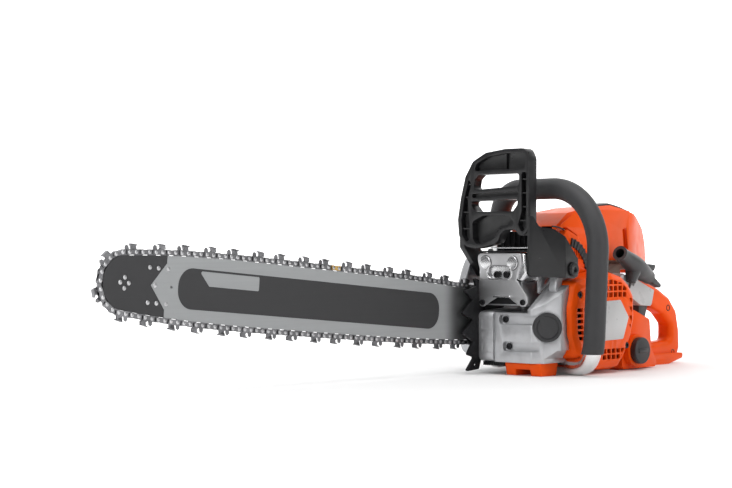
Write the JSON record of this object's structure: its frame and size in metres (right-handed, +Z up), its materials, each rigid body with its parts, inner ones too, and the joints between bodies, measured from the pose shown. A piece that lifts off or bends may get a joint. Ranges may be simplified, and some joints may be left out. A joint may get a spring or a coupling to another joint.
{
  "type": "chainsaw",
  "caption": "Petrol chainsaw with a long sprocket-nose bar and saw chain, wrap-around front handle, hinged hand guard, rear handle loop, recoil starter, clutch and open-crank engine inside.",
  "frame": {"origin": "on the ground under the middle of the saw's overall length and width", "axes": "+X to the rear handle (the bar points to -X), +Y to the saw's right side, +Z up"},
  "size_m": [1.0066, 0.2388, 0.2968],
  "materials": {
    "steel": "bright steel",
    "chain_steel": "hard bright chain steel",
    "brass": "plain brass colour",
    "bar_grey": "satin grey paint",
    "bar_dark": "satin dark grey paint",
    "black_steel": "black coated steel",
    "cast_grey": "light grey lacquer on cast magnesium",
    "cast_iron": "dark sintered metal",
    "aluminium": "plain aluminium",
    "bright_metal": "polished sheet",
    "orange": "satin orange moulding",
    "dark_plastic": "dark grey moulding",
    "grey_plastic": "light grey moulding",
    "black_plastic": "black moulding",
    "rubber": "dark grey rubber",
    "filter_felt": "pale filter cloth",
    "rope": "braided cord"
  },
  "bodies": {
    "saw": {"drive_links": "chain_steel", "tie_straps": "chain_steel", "cutters": "chain_steel", "chain_rivets": "steel", "closing_strap": "brass", "nose_sprocket": "steel", "rim_sprocket": "steel", "guide_bar": "bar_grey", "bar_nose": "bar_dark", "bar_rivets": "steel", "bar_decal": "bar_dark", "clutch_drum": "steel", "brake_band": "steel", "oil_pump": "aluminium", "clutch_cover": "cast_grey", "bar_studs_and_nuts": "black_steel", "chain_tensioner": "steel", "chain_catcher": "aluminium", "bumper_spikes": "black_steel", "crankcase_right": "cast_grey", "crankcase_left": "cast_grey", "socket_screws": "black_steel", "front_foot": "orange", "cylinder": "aluminium", "main_bearings": "steel", "ignition_module": "black_plastic", "spark_plug_and_boot": "rubber", "muffler": "bright_metal", "heat_shield": "bright_metal", "carburettor": "aluminium", "intake_boot": "rubber", "air_filter": "filter_felt", "top_cover": "orange", "top_trim": "dark_plastic", "cylinder_panel": "orange", "louvre": "dark_plastic", "starter_cover": "orange", "starter_plate": "grey_plastic", "tank_and_handle": "orange", "bridge_block": "grey_plastic", "front_handle": "aluminium", "handle_sleeve": "rubber", "handle_mounts": "dark_plastic", "av_springs": "steel"},
    "crank": {"crankshaft": "steel", "flywheel": "aluminium", "clutch_hub_and_shoes": "cast_iron"},
    "piston": {"piston_set": "aluminium"},
    "rod": {"rod_and_pin": "steel"},
    "starter_drum": {"pulley_and_rope": "dark_plastic"},
    "starter_pull": {"starter_grip": "dark_plastic", "rope_lead": "rope"},
    "guard": {"hand_guard": "black_plastic", "guard_cap": "black_plastic"},
    "trigger": {"throttle_trigger": "dark_plastic"},
    "lockout": {"throttle_lockout": "dark_plastic"},
    "butterfly": {"throttle_plate": "brass"},
    "fuel_filler_cap": {"fuel_cap": "dark_plastic"},
    "oil_filler_cap": {"oil_cap": "dark_plastic"},
    "lever": {"control_lever": "dark_plastic"}
  },
  "joints": [
    {"name": "crank_spin", "type": "hinge", "parent": "saw", "child": "crank", "pos_m": [0.24541, 0.02342, 0.0678], "axis": [0, 1, 0], "continuous": true},
    {"name": "piston_slide", "type": "slide", "parent": "saw", "child": "piston", "axis": [0, 0, -1], "range_m": [0, 0.036]},
    {"name": "wrist_pin_turn", "type": "hinge", "parent": "piston", "child": "rod", "pos_m": [0.24541, 0.02342, 0.1478], "axis": [0, 1, 0], "range_deg": [-16.5, 16.5]},
    {"name": "grip_pull", "type": "slide", "parent": "saw", "child": "starter_pull", "axis": [0.3609, 0, 0.9326], "range_m": [0, 0.6]},
    {"name": "drum_turn", "type": "hinge", "parent": "saw", "child": "starter_drum", "pos_m": [0.24541, -0.05258, 0.0678], "axis": [0, 1, 0], "range_deg": [0, 1260]},
    {"name": "guard_swing", "type": "hinge", "parent": "saw", "child": "guard", "pos_m": [0.17941, 0.00742, 0.1388], "axis": [0, -1, 0], "range_deg": [0, 7]},
    {"name": "trigger_squeeze", "type": "hinge", "parent": "saw", "child": "trigger", "pos_m": [0.41741, -0.00758, 0.0938], "axis": [0, -1, 0], "range_deg": [0, 18], "stiffness_Nm_per_rad": 0.8, "springref_deg": -8.59},
    {"name": "lockout_press", "type": "hinge", "parent": "saw", "child": "lockout", "pos_m": [0.41141, -0.00758, 0.1138], "axis": [0, 1, 0], "range_deg": [0, 4], "stiffness_Nm_per_rad": 2, "springref_deg": -5.73},
    {"name": "butterfly_turn", "type": "hinge", "parent": "saw", "child": "butterfly", "pos_m": [0.33141, 0.02342, 0.1288], "axis": [0, 1, 0], "range_deg": [0, 80]},
    {"name": "fuel_cap_turn", "type": "hinge", "parent": "saw", "child": "fuel_filler_cap", "pos_m": [0.33141, -0.06658, 0.0268], "axis": [0, -1, 0], "range_deg": [0, 90]},
    {"name": "oil_cap_turn", "type": "hinge", "parent": "saw", "child": "oil_filler_cap", "pos_m": [0.14741, -0.04758, 0.0638], "axis": [-0.6606, -0.7507, 0], "range_deg": [0, 90]},
    {"name": "lever_turn", "type": "hinge", "parent": "saw", "child": "lever", "pos_m": [0.40541, -0.03858, 0.1383], "axis": [0, -1, 0], "range_deg": [0, 30]}
  ],
  "couplings": [
    {"joint": "drum_turn", "follows": "grip_pull", "rad_per_m": 34.722},
    {"joint": "butterfly_turn", "follows": "trigger_squeeze", "ratio": 4.4}
  ]
}
